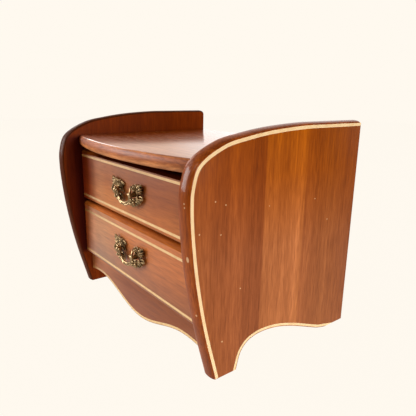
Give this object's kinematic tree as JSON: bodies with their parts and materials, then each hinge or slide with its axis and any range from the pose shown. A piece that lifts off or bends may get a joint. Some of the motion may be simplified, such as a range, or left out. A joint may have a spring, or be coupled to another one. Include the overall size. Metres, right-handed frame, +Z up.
{
  "type": "musical jewelry box",
  "caption": "Small walnut jewelry chest with curved side panels, bow-fronted top, two drawers with bail pulls, shaped apron and a wind-up musical movement behind the lower drawer.",
  "frame": {"origin": "on the supporting surface, under the middle of the box's overall width and depth", "axes": "+X to the box's right seen from the front, +Y to its back, +Z up; the drawers open towards -Y"},
  "size_m": [0.2126, 0.1644, 0.17],
  "materials": {
    "walnut": "gloss lacquer over red-brown veneer",
    "stringing": "pale wood strip under lacquer",
    "drawer_wood": "bare light wood",
    "plywood": "bare thin plywood",
    "velvet": "short red pile",
    "antique_brass": "cast, darkened in the recesses",
    "brass": "machined",
    "steel": "ground and plated",
    "cast_zinc": "as cast",
    "nylon": "moulded"
  },
  "bodies": {
    "case": {"side_panel_left": "walnut", "side_panel_left_string": "stringing", "side_panel_left_arch_string": "stringing", "side_panel_right": "walnut", "side_panel_right_string": "stringing", "side_panel_right_arch_string": "stringing", "top_board": "walnut", "apron": "walnut", "apron_string": "stringing", "case_floor": "plywood", "drawer_divider": "plywood", "back_panel": "plywood", "bedplate": "cast_zinc", "spring_housing": "brass", "mainspring": "steel", "comb": "steel", "crown_bridge": "cast_zinc", "train_plate_left": "cast_zinc", "train_plate_right": "cast_zinc", "fly_frame": "cast_zinc", "stop_post": "steel"},
    "upper_drawer": {"upper_drawer_front": "walnut", "upper_drawer_high_string": "stringing", "upper_drawer_low_string": "stringing", "upper_drawer_side_left": "drawer_wood", "upper_drawer_side_right": "drawer_wood", "upper_drawer_back": "drawer_wood", "upper_drawer_bottom": "plywood", "upper_drawer_lining": "velvet", "ring_rolls": "velvet", "upper_drawer_partition": "velvet", "upper_pull_plate_left": "antique_brass", "upper_pull_plate_right": "antique_brass", "upper_pull_nut_left": "brass", "upper_pull_nut_right": "brass"},
    "lower_drawer": {"lower_drawer_front": "walnut", "lower_drawer_high_string": "stringing", "lower_drawer_low_string": "stringing", "lower_drawer_side_left": "drawer_wood", "lower_drawer_side_right": "drawer_wood", "lower_drawer_back": "drawer_wood", "lower_drawer_bottom": "plywood", "lower_drawer_lining": "velvet", "lower_pull_plate_left": "antique_brass", "lower_pull_plate_right": "antique_brass", "lower_pull_nut_left": "brass", "lower_pull_nut_right": "brass"},
    "upper_bail": {"upper_pull_bail": "antique_brass"},
    "lower_bail": {"lower_pull_bail": "antique_brass"},
    "winding": {"winding_arbor": "brass", "winding_key": "steel"},
    "cylinder": {"pinned_cylinder": "brass", "cylinder_arbor": "brass"},
    "train": {"train_arbor": "nylon"},
    "fly": {"governor_fly": "nylon"},
    "stop_lever": {"stop_lever": "steel"}
  },
  "joints": [
    {"name": "upper_drawer_slide", "type": "slide", "parent": "case", "child": "upper_drawer", "axis": [0, -1, 0], "range_m": [0, 0.1]},
    {"name": "lower_drawer_slide", "type": "slide", "parent": "case", "child": "lower_drawer", "axis": [0, -1, 0], "range_m": [0, 0.06]},
    {"name": "upper_bail_swing", "type": "hinge", "parent": "upper_drawer", "child": "upper_bail", "pos_m": [0, -0.06955, 0.1122], "axis": [-1, 0, 0], "range_deg": [0, 75]},
    {"name": "lower_bail_swing", "type": "hinge", "parent": "lower_drawer", "child": "lower_bail", "pos_m": [0, -0.06955, 0.0614], "axis": [-1, 0, 0], "range_deg": [0, 75]},
    {"name": "cylinder_spin", "type": "hinge", "parent": "case", "child": "cylinder", "pos_m": [0.0068, 0.05625, 0.05164], "axis": [-1, 0, 0], "continuous": true},
    {"name": "key_spin", "type": "hinge", "parent": "case", "child": "winding", "pos_m": [-0.014, 0.05625, 0.02], "axis": [0, 0, -1], "continuous": true},
    {"name": "train_spin", "type": "hinge", "parent": "case", "child": "train", "pos_m": [0.0208, 0.06295, 0.04602], "axis": [-1, 0, 0], "continuous": true},
    {"name": "fly_spin", "type": "hinge", "parent": "case", "child": "fly", "pos_m": [0.0225, 0.06745, 0.046], "axis": [0, 0, -1], "continuous": true},
    {"name": "stop_lever_swing", "type": "hinge", "parent": "case", "child": "stop_lever", "pos_m": [0.0285, 0.05025, 0.049], "axis": [0, 0, -1], "range_deg": [0, 8.2]}
  ],
  "couplings": [
    {"joint": "key_spin", "follows": "cylinder_spin", "ratio": 0.33333},
    {"joint": "train_spin", "follows": "cylinder_spin", "ratio": -4},
    {"joint": "fly_spin", "follows": "cylinder_spin", "ratio": 28},
    {"joint": "stop_lever_swing", "follows": "lower_drawer_slide", "rad_per_m": 2.327}
  ]
}
